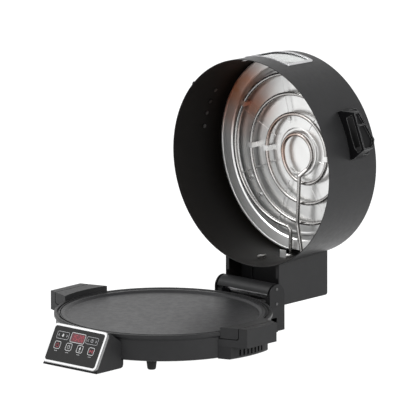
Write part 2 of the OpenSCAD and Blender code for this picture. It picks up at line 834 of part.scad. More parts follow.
// A curved cover over the front of the hinge, closed to the lugs at its ends
module hinge_cover() color([0.1, 0.1, 0.1]) placed()
    difference() {
        translate([0, ear_y, ear_arc_z])
            rotate([90, 0, 90])
                translate([0, 0, -cover_half])
                    rotate([0, 0, 78])
                        linear_extrude(height = 2 * cover_half)
                            intersection() {
                                circle(r = ear_r, $fn = 96);
                                polygon([[0, 0], [40, 0], [40, 40], [-40, 40],
                                    40 * [cos(92), sin(92)]]);
                            }
        // hollow between the lugs, and cut to the lugs' eyes
        translate([0, ear_y, ear_arc_z])
            along_x(-lug_in, lug_in, ear_r - 1.8);
        translate([0, hinge_y, hinge_z])
            along_x(-ear_in, ear_in, lug_r + touch);
        for (side = [0, 1])
            mirror([side, 0, 0])
                translate([lug_in - touch, bracket_front + 3 - touch, bracket_top])
                    cube([lug_t + 2, hinge_y, hinge_z - bracket_top + touch]);
    }

module power_inlet() color([0.06, 0.06, 0.06]) placed()
    translate([0, bracket_rear, (bracket_ground + bracket_seam) / 2 + 0.8]) {
        h = bracket_seam - bracket_ground - wall - 1.9;
        difference() {
            translate([-13.8, -14, -h / 2])
                cube([27.6, 14.5, h]);
            translate([-11.5, -11, -h / 2 + 2])
                cube([23, 12, h - 4]);
        }
        for (x = [-7, 0, 7])
            translate([x - 1, -12, -1])
                cube([2, 10, 2]);
    }

// ---- lid -----------------------------------------------------------------

module lid_drum() color([0.12, 0.12, 0.12]) lid_placed()
    difference() {
        drum_solid(0, lid_h - lid_round);
        drum_solid(-1, lid_h, lid_t);
        // the viewing window
        window_block(0);
        // the heating tube's leads pass through here into the wiring box
        translate([-20, lid_r - 20, upper_tube_z - 16])
            cube([50, 40, 22]);
        for (angle = [-grip_angle, grip_angle], i = [0:3])
            grip_hole(angle, i);
    }

// A hole through the drum's wall and into a handle's foot
module grip_hole(angle, i) {
    z = grip_low + grip_w / 2;
    rotate([0, 0, angle + asin(grip_fixings()[i] / lid_r_at(z))])
        translate([0, -lid_r_at(z) + 10, z])
            rotate([90, 0, 0])
                cylinder(h = 10 + grip_hole_depth, r = screw_r + touch, $fn = 32);
}

// A block that stands over the window, its edges moved out by the amount given
module window_block(out) {
    half = lid_r * sin(window_angle) + out;
    corner = max(4 + out, 1);
    translate([0, -lid_r + 30, (window_low + window_high) / 2])
        rotate([90, 0, 0])
            linear_extrude(height = 60)
                round_rect(2 * half, window_high - window_low + 2 * out, corner);
}

module window_frame() color([0.7, 0.7, 0.71]) lid_placed()
    difference() {
        intersection() {
            difference() {
                drum_solid(window_low - 10, window_high + 10, -frame_t);
                drum_solid(window_low - 11, window_high + 11, -touch);
            }
            window_block(1);
        }
        window_block(1 - frame_w);
    }

module window_glass() color([0.6, 0.65, 0.65, 0.35]) lid_placed()
    intersection() {
        difference() {
            drum_solid(window_low - 10, window_high + 10, lid_t + 0.1);
            drum_solid(window_low - 11, window_high + 11, lid_t + 3);
        }
        window_block(4);
    }

module window_retainer() color([0.5, 0.5, 0.5]) lid_placed()
    difference() {
        intersection() {
            difference() {
                drum_solid(window_low - 10, window_high + 10, lid_t + 3 + touch);
                drum_solid(window_low - 11, window_high + 11, lid_t + 4);
            }
            window_block(6);
        }
        window_block(-2);
    }

module lid_top() color([0.12, 0.12, 0.12]) lid_placed() {
    edge_r = lid_r_at(lid_h - lid_round);
    rotate_extrude($fn = 180)
        polygon(concat(
            [[0, lid_h]],
            [for (a = [90:-15:0]) [edge_r - lid_round + lid_round * cos(a),
                lid_h - lid_round + lid_round * sin(a)]],
            [[edge_r - lid_t - 0.4, lid_h - lid_round],
             [edge_r - lid_t - 0.4, lid_h - lid_round - 1.5],
             [edge_r - 2 * lid_t - 0.4, lid_h - lid_round - 1.5],
             [edge_r - 2 * lid_t - 0.4, lid_h - lid_t - 1],
             [edge_r - 2 * lid_t - 1.4, lid_h - lid_t], [0, lid_h - lid_t]]));
}

// Radii of the reflector's stamped rings
function ring_radii() = [for (part = [0.92, 0.25]) part * flat_r];

// Its lower face, from the outside in, in radius and height
edge_r = lid_r_at(reflector_z) - lid_t - 0.1;
flat_r = edge_r - 17;
flat_z = reflector_z + 4;
coil_r = flat_r - coil_inset;
upper_right_step = (coil_r - upper_right_first) / 3;
upper_left_step = (coil_r - 2.6 - upper_left_first) / 3;
face = concat(
    [[edge_r, reflector_z - 1], [edge_r - 2, reflector_z - 1], [edge_r - 2, reflector_z],
     [flat_r, flat_z - 1.5], [flat_r - 2, flat_z]],
    [for (r = ring_radii()) each [[r + 3.5, flat_z], [r + 1.2, flat_z - ring_d],
        [r - 1.2, flat_z - ring_d], [r - 3.5, flat_z]]],
    [[0, flat_z]]);

module lid_reflector() color([0.78, 0.78, 0.79]) lid_placed() {
    back = [for (i = [len(face) - 1:-1:0]) face[i] + [0, sheet_t]];
    difference() {
        rotate_extrude($fn = 180)
            polygon(concat(face, back));
        translate([-20, edge_r - 3, reflector_z - 2])
            cube([50, 10, 4]);
    }
}

// Where the upper tube crosses the line through its middle, from the inside out
function tube_right(k) = upper_right_first + k * upper_right_step;
function tube_left(k) = -upper_left_first - k * upper_left_step;

module upper_heating_tube() color([0.6, 0.58, 0.56]) lid_placed() {
    // half turns: front ones join right to left, back ones join left to the next right
    for (k = [0:3]) {
        front_r = (tube_right(k) - tube_left(k)) / 2;
        arc_rod([(tube_right(k) + tube_left(k)) / 2, 0, upper_tube_z], front_r, 180, 180, tube_r);
    }
    for (k = [0:2]) {
        back_r = (tube_right(k + 1) - tube_left(k)) / 2;
        arc_rod([(tube_right(k + 1) + tube_left(k)) / 2, 0, upper_tube_z], back_r, 0, 180, tube_r);
    }
    // the outer end: a last back arc, a small bend and the straight lead
    last = [last_x + last_r * cos(last_a), last_r * sin(last_a), upper_tube_z];
    bend_middle = last + lead_bend * [cos(last_a), sin(last_a), 0];
    joint([tube_left(3), 0, upper_tube_z], tube_r);
    arc_rod([last_x, 0, upper_tube_z], last_r, last_a + 0.1, 179.8 - last_a, tube_r);
    joint(last, tube_r);
    arc_rod(bend_middle, lead_bend, last_a - 179, 178 - last_a, tube_r);
    joint(bend_middle + [lead_bend, 0, 0], tube_r);
    translate(bend_middle + [lead_bend, 0.2, 0])
        rotate([-90, 0, 0])
            cylinder(h = lead_end(0)[1] - bend_middle[1] - 0.2, r = tube_r, $fn = 16);
    // the inner end: on round the first turn, then in front of the turns to the back
    first_r = (tube_right(0) - tube_left(0)) / 2;
    first_x = (tube_right(0) + tube_left(0)) / 2;
    turn = [first_x + first_r * cos(45), first_r * sin(45), upper_tube_z];
    arc_rod([first_x, 0, upper_tube_z], first_r, 0, 45, tube_r);
    joint(turn, tube_r);
    rod(turn, inner_bend(), tube_r);
    joint(inner_bend(), tube_r);
    rod(inner_bend(), inner_kink(), tube_r);
    joint(inner_kink(), tube_r);
    rod(inner_kink(), lead_end(1), tube_r);
}

lead_bend = 8.5;
last_x = -4.7;
last_a = 95.7;
last_r = last_x - tube_left(3);
inner_z = upper_tube_z - 2.4 * tube_r - 1;
function inner_bend() = [16.7, 32.7, inner_z];
function inner_kink() = [13, 0.67 * lid_r, inner_z];
function lead_end(i) =
    [[last_x + (last_r + lead_bend) * cos(last_a) + lead_bend, lid_r + 6, upper_tube_z],
        [25, lid_r + 6, inner_z]][i];

module tube_terminals() color("silver") lid_placed()
    for (i = [0, 1])
        translate(lead_end(i)) {
            rotate([-90, 0, 0]) {
                difference() {
                    cylinder(h = 12, r = 5, $fn = 6);
                    translate([0, 0, -1])
                        cylinder(h = 4.5, r = tube_r + touch, $fn = 32);
                }
                translate([0, 0, 12])
                    cylinder(h = 8, r = 2, $fn = 32);
            }
        }

// Flat clips that hold the upper tube to the reflector
module upper_tube_clips() color([0.8, 0.8, 0.8]) lid_placed()
    difference() {
        union() {
            for (k = [1, 2])
                translate([tube_left(k), 0, 0])
                    tube_clip(8);
            translate([(tube_right(3) + tube_left(3)) / 2, 0, 0])
                rotate([0, 0, 31])
                    translate([-(tube_right(3) - tube_left(3)) / 2, 0, 0])
                        tube_clip(18);
            for (k = [1, 3])
                translate([tube_right(k), 0, 0])
                    mirror([1, 0, 0])
                        tube_clip(8);
        }
        rotate_extrude($fn = 180)
            polygon(concat([for (p = face) p - [0, touch]], [[0, lid_h], [edge_r, lid_h]]));
    }

// A strap round the tube at the origin, with a tab along the reflector towards +X
module tube_clip(tab) {
    low = upper_tube_z - tube_r - touch - 0.8;
    side = tube_r + 0.25;
    tab_z = flat_z - touch - 0.8;
    for (x = [-side - 0.8, side])
        translate([x, -4, low])
            cube([0.8, 8, flat_z - low]);
    translate([-side - 0.8, -4, low])
        cube([2 * side + 1.6, 8, 0.8]);
    translate([side, -4, tab_z])
        cube([tab, 8, 0.8]);
}

// Thin stay wires that lie across the back of the tube's turns, out from the middle
module reflector_wires() color([0.6, 0.6, 0.6]) lid_placed()
    for (i = [0:6])
        rotate([0, 0, 10 + i * 49])
            translate([0, 0, upper_tube_z + tube_r + 0.65])
                rod([flat_r / 3, 0, 0], [flat_r * 0.95, 0, 0], 0.6);

module reflector_screws() color([0.85, 0.85, 0.85]) lid_placed()
    for (p = reflector_screw_points())
        rotate([0, 0, p[1]])
            translate([p[0] * flat_r, 0, flat_z])
                rotate([180, 0, 0])
                    cylinder(h = 2.2, r = screw_head_r, $fn = 32);

// Their places, as parts of the flat part's radius and angles
function reflector_screw_points() = [[0.8, 135], [0.8, 151.3], [0.38, 248.8], [0.8, 55], [0.8, -30]];

module terminal_bracket() color([0.85, 0.85, 0.85]) lid_placed() {
    x0 = 0;
    z0 = upper_tube_z - 34;
    wall_y = lid_r_at(z0) - lid_t;
    difference() {
        union() {
            translate([x0, wall_y - 12, z0])
                cube([12, 14, 1]);
            translate([x0, wall_y - 4, z0])
                cube([12, 10, 14]);
        }
        drum_outside();
        translate([x0 - 1, wall_y - 13, z0 + 1])
            cube([14, 10, 14]);
        translate([x0 - 1, wall_y - 20, z0 - 1])
            cube([2, 8, 30]);
    }
}

// Everything from the drum's inner wall outwards
module drum_outside()
    difference() {
        translate([0, 0, -5])
            cylinder(h = lid_h + 10, r = lid_r + 40, $fn = 60);
        drum_solid(-6, lid_h + 6, lid_t + touch);
    }

module lid_thermostat() color([0.8, 0.8, 0.78]) lid_placed()
    difference() {
        union() {
            translate([-23, lid_r - 7, 40])
                cube([9, 10, 6]);
            translate([-19, lid_r - 7, 34])
                cube([1.6, 10, 19]);
            translate([-23, lid_r - 6, 49])
                cube([8, 10, 1.6]);
        }
        drum_outside();
    }

// ---- lid handles ---------------------------------------------------------

// Where the screws of a lid handle lie along the drum
function grip_fixings() = [-grip_len / 2 + 6, -10, 10, grip_len / 2 - 6];

// The right handle: a closed loop on a base plate, narrower towards the lid's front
module lid_handle() {
    base = grip_len / 2;
    face = grip_face / 2;
    inside = grip_out - grip_bar;
    wide = face * 0.58;
    slope = grip_taper / (base + 1 + wide);
    difference() {
        on_drum(grip_angle)
            translate([0, 0, grip_low])
                difference() {
                    linear_extrude(height = grip_w)
                        difference() {
                            polygon([[-base, -8], [-base, 2.5], [-face, grip_out],
                                [face, grip_out], [base, 2.5], [base, -8]]);
                            polygon([[-face + 5, grip_base], [-face + 3, inside],
                                [face - 2.5, inside], [face + 0.8, grip_base + 4.5],
                                [face - 7, grip_base]]);
                        }
                    grip_side(grip_base, grip_out + 1)
                        polygon([[-base - 1, grip_w - grip_taper], [wide, grip_w],
                            [wide + 7.5, grip_w - 4.2], [base + 1, grip_w * 0.38],
                            [base + 1, grip_w + 1], [-base - 1, grip_w + 1]]);
                    // the outer face is sunk inside a raised edge, with one cross rib
                    difference() {
                        grip_side(inside + 2, grip_out + 1)
                            polygon([[-face + grip_lip, grip_lip], [face - grip_lip, grip_lip],
                                [face - grip_lip, grip_w * 0.62],
                                [wide + 6.2, grip_w - 4.4 - grip_lip],
                                [wide, grip_w - grip_lip - 0.3],
                                [-face + grip_lip, grip_w - grip_lip * 1.2
                                    - slope * (wide + face - grip_lip)]]);
                        translate([-8 - grip_lip, 0, 0])
                            cube([grip_lip, grip_out, grip_w]);
                    }
                }
        drum_solid(0, lid_h, -touch);
        for (i = [0:3])
            grip_hole(grip_angle, i);
    }
}

// A plan outline along the drum and up it, drawn out from y0 to y1 off the drum
module grip_side(y0, y1)
    translate([0, y1, 0])
        rotate([90, 0, 0])
            linear_extrude(height = y1 - y0)
                children();

module lid_handle_right() color([0.07, 0.07, 0.07]) lid_placed() lid_handle();
module lid_handle_left() color([0.07, 0.07, 0.07]) lid_placed() mirror([1, 0, 0]) lid_handle();

// Screws from inside the drum into the handles' base plates
module lid_handle_screws() color([0.2, 0.2, 0.2]) lid_placed()
    for (angle = [-grip_angle, grip_angle], i = [0:3])
        grip_fixing(angle, i, screw_r)
            cylinder(h = grip_hole_depth - 0.5, r = screw_r, $fn = 32);

// A fixing through the drum's wall: a head inside it, and what the child adds outside,
// drawn up from the wall's outer face
module grip_fixing(angle, i, r) {
    z = grip_low + grip_w / 2;
    t = grip_fixings()[i];
    turn = angle + asin(t / lid_r_at(z));
    rotate([0, 0, turn])
        translate([0, -lid_r_at(z), z])
            rotate([90, 0, 0]) {
                translate([0, 0, -lid_t - 1.6])
                    cylinder(h = 1.4, r = screw_head_r, $fn = 32);
                translate([0, 0, -lid_t - 0.3])
                    cylinder(h = lid_t + 0.5, r = r, $fn = 32);
                translate([0, 0, 0.15])
                    children();
            }
}

grip_hole_depth = grip_base - 2;

// ---- wiring box ----------------------------------------------------------

module wiring_box() color([0.1, 0.1, 0.1]) lid_placed()
    difference() {
        union() {
            difference() {
                extrude_x(-box_half, box_half)
                    box_outline(0);
                extrude_x(-box_half + box_t, box_half - box_t)
                    box_outline(box_t);
            }
            // flanges at the open edge, clear of the hinge
            for (x = [-box_half, box_half - 6.5])
                translate([x, lid_r * 0.8, box_low])
                    cube([6.5, hinge_y - 25.6 - lid_r * 0.8, box_t]);
        }
        drum_solid(-1, lid_h + 1, -touch);
        // room for the fixed lugs, which reach into the box's walls
        for (x = [-box_half - 1, lug_in - 0.3])
            translate([0, hinge_y, hinge_z - lid_rim_z])
                along_x(x, x + box_half - lug_in + 1.3, lug_r + 0.5);
    }

// Side outline of the wiring box, its walls drawn in by the amount given
module box_outline(in) {
    r = box_round - in / 2;
    y1 = box_rear - in;
    z1 = lid_h - in;
    z0 = box_low - (in > 0 ? 1 : 0);
    translate([lid_r * 0.8, z0])
        square([y1 - r - lid_r * 0.8, z1 - z0]);
    translate([lid_r * 0.8, z0])
        square([y1 - lid_r * 0.8, z1 - r - z0]);
    translate([y1 - r, z1 - r])
        circle(r = r, $fn = 48);
}

// An inner cover over the wires, with a round stamped recess
module box_shield() color([0.2, 0.19, 0.18]) lid_placed()
    difference() {
        union() {
            translate([-box_half + box_t, lid_r * 0.8, shield_z])
                cube([2 * (box_half - box_t), box_rear - box_t - lid_r * 0.8, 1.2]);
            translate([0, hinge_y - 20, shield_z - 3])
                cylinder(h = 3.2, r = 30, $fn = 96);
        }
        drum_solid(-1, lid_h + 1, -touch);
        translate([0, hinge_y - 20, shield_z - 4])
            cylinder(h = 4, r = 28.5, $fn = 96);
        translate([-60, box_rear - box_t, shield_z - 5])
            cube([120, 20, 10]);
    }

module lid_hinge_leaf() color([0.55, 0.55, 0.55]) lid_placed() {
    low = box_back - box_t;
    difference() {
        translate([0, hinge_y, hinge_z - lid_rim_z])
            union() {
                along_x(-barrel_half, barrel_half, barrel_r);
                extrude_x(-barrel_half, barrel_half)
                    polygon([[low, box_edge + 0.1], [low, leaf_h], [low - leaf_t, leaf_h],
                        [low - leaf_t, leaf_h - 12], [leaf_t * 0.7, barrel_r - 1],
                        [-leaf_t / 3, leaf_t * 0.7], [leaf_t * 1.3, -leaf_t * 0.7],
                        [low - leaf_t, box_edge + 0.1]]);
            }
        translate([0, hinge_y, hinge_z - lid_rim_z])
            along_x(-barrel_half - 1, barrel_half + 1, pin_r + pin_gap);
        for (x = leaf_screw_x())
            translate([x, box_rear - box_t - 4, hinge_z - lid_rim_z + leaf_h - 6])
                rotate([-90, 0, 0])
                    cylinder(h = 8, r = screw_r + touch, $fn = 32);
    }
}

function leaf_screw_x() = barrel_half * [-0.73, -0.25, 0.25, 0.73];

module lid_hinge_screws() color("silver") lid_placed()
    for (x = leaf_screw_x())
        translate([x, box_rear - box_t - leaf_t, hinge_z - lid_rim_z + leaf_h - 6])
            rotate([90, 0, 0])
                screw(2.9);

base_shell();
base_rim();
bottom_cover();
bottom_cover_screws();
foot_front_left();
foot_front_right();
foot_rear_left();
foot_rear_right();
bracket_pads();
heater_pan();
lower_heating_tube();
lower_tube_posts();
lower_thermostat();
power_board();
baking_plate();
control_housing();
control_bezel();
control_glass();
display_module();
control_board();
handle_left();
handle_left_cap();
handle_right();
handle_right_cap();
vent_left();
vent_right();
hinge_bracket_upper();
hinge_bracket_lower();
ear_left();
ear_right();
ear_screws();
hinge_pin_left();
hinge_pin_right();
hinge_cover();
power_inlet();
lid_drum();
lid_top();
lid_reflector();
upper_heating_tube();
upper_tube_clips();
reflector_wires();
reflector_screws();
tube_terminals();
terminal_bracket();
lid_thermostat();
window_frame();
window_glass();
window_retainer();
lid_handle_left();
lid_handle_right();
lid_handle_screws();
wiring_box();
box_shield();
lid_hinge_leaf();
lid_hinge_screws();
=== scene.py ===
"""Looks of the countertop pizza maker, built round its CAD frame.

The CAD nodes keep their meshes and get procedural finishes by their material slots. The only
pieces made here are the flat marks printed on the touch panel. Places are in metres, in the
frame's axes at rest: +X to the right along the hinge, -Y to the user, +Z up.
"""

import json
import math

import bpy
from mathutils import Matrix, Vector


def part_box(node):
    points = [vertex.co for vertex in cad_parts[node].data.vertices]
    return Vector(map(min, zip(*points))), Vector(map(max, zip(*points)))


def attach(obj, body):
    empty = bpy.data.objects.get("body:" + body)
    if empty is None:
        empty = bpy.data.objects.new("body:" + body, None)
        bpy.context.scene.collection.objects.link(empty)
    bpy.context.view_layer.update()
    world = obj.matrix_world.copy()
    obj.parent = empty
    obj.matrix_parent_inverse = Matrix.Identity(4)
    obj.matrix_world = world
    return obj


MM = 0.001

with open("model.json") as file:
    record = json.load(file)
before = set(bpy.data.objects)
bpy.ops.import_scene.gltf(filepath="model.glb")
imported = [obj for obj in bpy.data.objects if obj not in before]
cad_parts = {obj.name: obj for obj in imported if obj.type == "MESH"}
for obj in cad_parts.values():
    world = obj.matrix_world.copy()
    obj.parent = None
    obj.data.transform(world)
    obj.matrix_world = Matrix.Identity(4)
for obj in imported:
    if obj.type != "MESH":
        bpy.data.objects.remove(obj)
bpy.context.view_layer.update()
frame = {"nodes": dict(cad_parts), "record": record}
NODES = frame["nodes"]

# ---- sizes that the frame gives ------------------------------------------

# The base's axis in the frame, from the baking plate's outline
PLATE_LOW, PLATE_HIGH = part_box("baking_plate")
BASE_Y = (PLATE_LOW.y + PLATE_HIGH.y) / 2

# The touch panel's slope, and the directions up its face and out of it
PANEL_TILT = math.radians(61.5)
PANEL_UP = Vector((0, math.cos(PANEL_TILT), math.sin(PANEL_TILT)))
PANEL_OUT = Vector((0, -math.sin(PANEL_TILT), math.cos(PANEL_TILT)))


def reach_of(node, way):
    """How far a node reaches in a direction."""
    return max(v.co.dot(way) for v in NODES[node].data.vertices)


# How far up the slope the panel's lower edge lies, and how far out its glass
PANEL_EDGE = -reach_of("control_bezel", -PANEL_UP)
PANEL_GLASS = reach_of("control_glass", PANEL_OUT)

# The open lid, whose axis runs along Y and whose rim faces -Y
DRUM_LOW, DRUM_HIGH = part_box("lid_drum")
LID_AXIS_Z = (DRUM_LOW.z + DRUM_HIGH.z) / 2
LID_RIM_Y = DRUM_LOW.y
LID_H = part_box("lid_top")[1].y - LID_RIM_Y

# ---- camera --------------------------------------------------------------

# Fitted to the outlines of the base and the lid: far off, with a long lens. The camera stands to
# the right of the front by the turn, and looks down on its target.
CAM_TARGET = Vector((140.53 * MM, BASE_Y - 49.42 * MM, 243.73 * MM))
CAM_REACH = 30
CAM_TURN = math.radians(42.3)
CAM_DOWN = math.radians(12.57)
CAM_ROLL = math.radians(-0.08)
CAM_CLIP = (1, 80)
IMAGE_PX = 420
FOCAL_PX = 20000
SENSOR = 36


def make_camera():
    data = bpy.data.cameras.new("camera")
    data.sensor_width = SENSOR
    data.sensor_fit = "HORIZONTAL"
    data.lens = FOCAL_PX / IMAGE_PX * SENSOR
    data.clip_start, data.clip_end = CAM_CLIP
    cam = bpy.data.objects.new("camera", data)
    bpy.context.scene.collection.objects.link(cam)
    cam.matrix_world = (Matrix.Translation(CAM_TARGET)
                        @ Matrix.Rotation(CAM_TURN, 4, "Z")
                        @ Matrix.Rotation(math.pi / 2 - CAM_DOWN, 4, "X")
                        @ Matrix.Rotation(CAM_ROLL, 4, "Z")
                        @ Matrix.Translation((0, 0, CAM_REACH)))
    bpy.context.scene.camera = cam


make_camera()

# ---- shader nodes --------------------------------------------------------

# Sockets of a Mix node that mixes colours, and of one that mixes numbers
COLOR_A, COLOR_B, COLOR_OUT = 6, 7, 2
NUMBER_A, NUMBER_B, NUMBER_OUT = 2, 3, 0


def feed(tree, node, inputs):
    """Gives a node's inputs their values, or links them where the value is a socket."""
    for key, value in inputs.items():
        if isinstance(value, bpy.types.NodeSocket):
            tree.links.new(value, node.inputs[key])
        else:
            node.inputs[key].default_value = value


def make_node(tree, kind, inputs=None, **settings):
    node = tree.nodes.new("ShaderNode" + kind)
    for name, value in settings.items():
        setattr(node, name, value)
    feed(tree, node, inputs or {})
    return node


def number_math(tree, what, a, b):
    return make_node(tree, "Math", {0: a, 1: b}, operation=what).outputs[0]


def vector_math(tree, what, a, b):
    node = make_node(tree, "VectorMath", {0: a, 1: b}, operation=what)
    return node.outputs["Value" if what in ("DOT_PRODUCT", "DISTANCE") else "Vector"]


def mixed(tree, mask, a, b):
    """Colour a where the mask is 0, and colour b where it is 1."""
    node = make_node(tree, "Mix", {0: mask, COLOR_A: a, COLOR_B: b}, data_type="RGBA")
    return node.outputs[COLOR_OUT]


def ranged(tree, value, source, target, kind="LINEAR"):
    """A value moved from one range onto another, and held at its ends."""
    node = make_node(tree, "MapRange", {
        "Value": value, "From Min": source[0], "From Max": source[1],
        "To Min": target[0], "To Max": target[1]}, interpolation_type=kind)
    return node.outputs[0]


def own_place(tree):
    """A point's place in its object's space, which is the frame's at rest."""
    return make_node(tree, "TexCoord").outputs["Object"]


def own_normal(tree):
    return make_node(tree, "TexCoord").outputs["Normal"]


def noise(tree, scale, detail=3.0):
    """A noise field that sticks to the object."""
    field = make_node(tree, "TexNoise", {
        "Vector": own_place(tree), "Scale": scale, "Detail": detail, "Roughness": 0.5})
    return field.outputs[0]


def spread(tree, value, low, high):
    """A noise field's middle range moved onto low..high."""
    return ranged(tree, value, (0.3, 0.7), (low, high))


# ---- masks ---------------------------------------------------------------


def near(tree, place, reach, strength, scale):
    """A cloudy mask that fades out from a place in the frame at rest."""
    away = vector_math(tree, "DISTANCE", own_place(tree), place)
    fade = ranged(tree, away, (reach, reach * 0.15), (0, strength), "SMOOTHSTEP")
    return number_math(tree, "MULTIPLY", fade, spread(tree, noise(tree, scale, 4), 0.4, 1.0))


def inside_drum(tree):
    """1 on faces that look at the drum's axis, 0 on those that look away."""
    out = vector_math(tree, "SUBTRACT", own_place(tree), (0, 0, LID_AXIS_Z))
    flat = vector_math(tree, "MULTIPLY", out, (1, 0, 1))
    facing = vector_math(tree, "DOT_PRODUCT", flat, own_normal(tree))
    return number_math(tree, "LESS_THAN", facing, -0.02)


def turned_from(tree, direction, limit):
    """1 on faces whose own direction is further from the given one than the limit."""
    facing = vector_math(tree, "DOT_PRODUCT", own_normal(tree), direction)
    return number_math(tree, "LESS_THAN", facing, limit)


def edges(tree, reach, limit):
    """Rises to 1 on the edges of a moulding, where its softened direction leaves its own."""
    soft = make_node(tree, "Bevel", {"Radius": reach}, samples=6).outputs[0]
    own = make_node(tree, "NewGeometry").outputs["True Normal"]
    return ranged(tree, vector_math(tree, "DOT_PRODUCT", soft, own), (1.0, limit), (0, 1))


def either(tree, *masks):
    """The greatest of some masks."""
    total = masks[0]
    for mask in masks[1:]:
        total = number_math(tree, "MAXIMUM", total, mask)
    return total


def seen_rays(tree):
    """1 for what the camera sees, straight or in metal or through glass."""
    path = make_node(tree, "LightPath")
    return either(tree, path.outputs["Is Camera Ray"], path.outputs["Is Glossy Ray"],
                  path.outputs["Is Transmission Ray"])


# ---- materials -----------------------------------------------------------


def new_material(name):
    m = bpy.data.materials.new(name)
    m.use_nodes = True
    tree = m.node_tree
    tree.nodes.clear()
    shader = make_node(tree, "BsdfPrincipled")
    make_node(tree, "OutputMaterial", {0: shader.outputs[0]})
    return m, tree, shader


def node_of(material, kind):
    return [n for n in material.node_tree.nodes if n.type == kind][0]


def surface(name, color, rough, metallic=0.0, vary=0.08, grain=0.0, grain_scale=1500,
            edge=0.0, tint=0.06, scale=60, specular=0.5):
    """A finish with slightly uneven colour and gloss, fine grain and softened edges.

    tint and vary are how far the colour and the roughness wander, scale is how finely, grain is
    the height of the fine grain, and edge is the radius that edges are softened to.
    """
    m, tree, shader = new_material(name)
    low = [c * (1 - tint) for c in color] + [1]
    high = [min(1, c * (1 + tint)) for c in color] + [1]
    feed(tree, shader, {
        "Base Color": mixed(tree, spread(tree, noise(tree, scale), 0, 1), low, high),
        "Roughness": spread(tree, noise(tree, scale * 2.3), rough - vary / 2, rough + vary / 2),
        "Metallic": metallic, "Specular IOR Level": specular})
    if edge:
        soft = make_node(tree, "Bevel", {"Radius": edge}, samples=4).outputs[0]
        feed(tree, shader, {"Normal": soft})
    if grain:
        bump = make_node(tree, "Bump", {"Strength": grain, "Distance": 0.2 * MM,
                                        "Height": noise(tree, grain_scale, 2)})
        if edge:
            feed(tree, bump, {"Normal": soft})
        feed(tree, shader, {"Normal": bump.outputs[0]})
    return m


def clear_glass(name):
    m, tree, shader = new_material(name)
    feed(tree, shader, {
        "Base Color": (0.9, 0.93, 0.92, 1), "Transmission Weight": 1.0, "IOR": 1.45,
        "Roughness": spread(tree, noise(tree, 30), 0.02, 0.05)})
    return m


def printed(name, color, strength):
    """A mark's ink, with a faint light of its own."""
    m, tree, shader = new_material(name)
    feed(tree, shader, {"Base Color": (*color, 1), "Roughness": 0.5,
                        "Emission Color": (*color, 1), "Emission Strength": strength})
    return m


def overlay(m, color, *masks):
    """Lays a second colour over a finish's own, where any of the masks holds.

    Each mask is a function that makes it in the finish's node tree.
    """
    tree = m.node_tree
    shader = node_of(m, "BSDF_PRINCIPLED")
    under = shader.inputs["Base Color"].links[0].from_socket
    mask = either(tree, *[make(tree) for make in masks])
    feed(tree, shader, {"Base Color": mixed(tree, mask, under, (*color, 1))})


def dull_inside(m, color, rough, shine):
    """Gives a drum's inner face a darker, duller colour, and a shine that fades out far in,
    which is painted shade towards the reflector.
    """
    tree = m.node_tree
    shader = node_of(m, "BSDF_PRINCIPLED")
    mask = inside_drum(tree)
    overlay(m, color, lambda t: mask)
    outer_rough = shader.inputs["Roughness"].links[0].from_socket
    outer_shine = shader.inputs["Specular IOR Level"].default_value
    gloss = make_node(tree, "Mix", {0: mask, NUMBER_A: outer_rough, NUMBER_B: rough})
    # painted shade: the inner face's shine fades out deep in, towards the reflector
    along = make_node(tree, "SeparateXYZ", {0: own_place(tree)}).outputs["Y"]
    painted_shade_fade = ranged(tree, along, (LID_RIM_Y + LID_H * 0.45, LID_RIM_Y + LID_H * 0.9),
                    (shine, 0), "SMOOTHSTEP")
    feed(tree, shader, {"Roughness": gloss.outputs[NUMBER_OUT],
                        "Specular IOR Level": ranged(tree, mask, (0, 1), (outer_shine, painted_shade_fade))})


# What each material slot of the record looks like, as arguments of surface()
LOOKS = {
    "shell_plastic": dict(color=(0.019, 0.019, 0.0195), rough=0.42, grain=0.12,
                          grain_scale=2600, edge=0.6 * MM, specular=0.17),
    "dark_plastic": dict(color=(0.015, 0.015, 0.0155), rough=0.40, grain=0.12,
                         grain_scale=2600, edge=0.5 * MM, specular=0.17),
    "grip_plastic": dict(color=(0.004, 0.004, 0.0043), rough=0.34, grain=0.1,
                         grain_scale=2600, edge=0.6 * MM, specular=0.12),
    "foot_rubber": dict(color=(0.008, 0.008, 0.008), rough=0.7, grain=0.2, edge=0.4 * MM,
                        specular=0.3),
    "lid_paint": dict(color=(0.018, 0.018, 0.0185), rough=0.38, grain=0.10,
                      grain_scale=3500, edge=0.4 * MM, specular=0.2),
    "bracket_paint": dict(color=(0.009, 0.009, 0.0095), rough=0.42, grain=0.10,
                          grain_scale=3500, edge=0.4 * MM, specular=0.2),
    "plate_coating": dict(color=(0.020, 0.020, 0.021), rough=0.38, metallic=0.05, grain=0.2,
                          grain_scale=3000, edge=0.4 * MM, specular=0.22),
    "bright_steel": dict(color=(0.84, 0.84, 0.83), rough=0.30, metallic=0.82, vary=0.05,
                         tint=0.03, scale=25),
    "frame_steel": dict(color=(0.55, 0.55, 0.56), rough=0.3, metallic=1.0, edge=0.3 * MM),
    "heater_steel": dict(color=(0.46, 0.45, 0.44), rough=0.26, metallic=1.0, tint=0.1),
    "screw_steel": dict(color=(0.6, 0.6, 0.6), rough=0.25, metallic=1.0, edge=0.2 * MM),
    "blackened_steel": dict(color=(0.11, 0.11, 0.11), rough=0.35, metallic=1.0,
                            edge=0.2 * MM),
    "bezel_chrome": dict(color=(0.86, 0.86, 0.86), rough=0.22, metallic=0.55, vary=0.04,
                         tint=0.01, specular=0.8),
    "panel_glass": dict(color=(0.012, 0.012, 0.012), rough=0.22, vary=0.04, tint=0.03,
                        specular=0.3),
    "ceramic_white": dict(color=(0.7, 0.68, 0.62), rough=0.35),
    "board_green": dict(color=(0.02, 0.12, 0.05), rough=0.45),
}
FINISH = {slot: surface(slot, **look) for slot, look in LOOKS.items()}
FINISH["window_glass"] = clear_glass("window_glass")
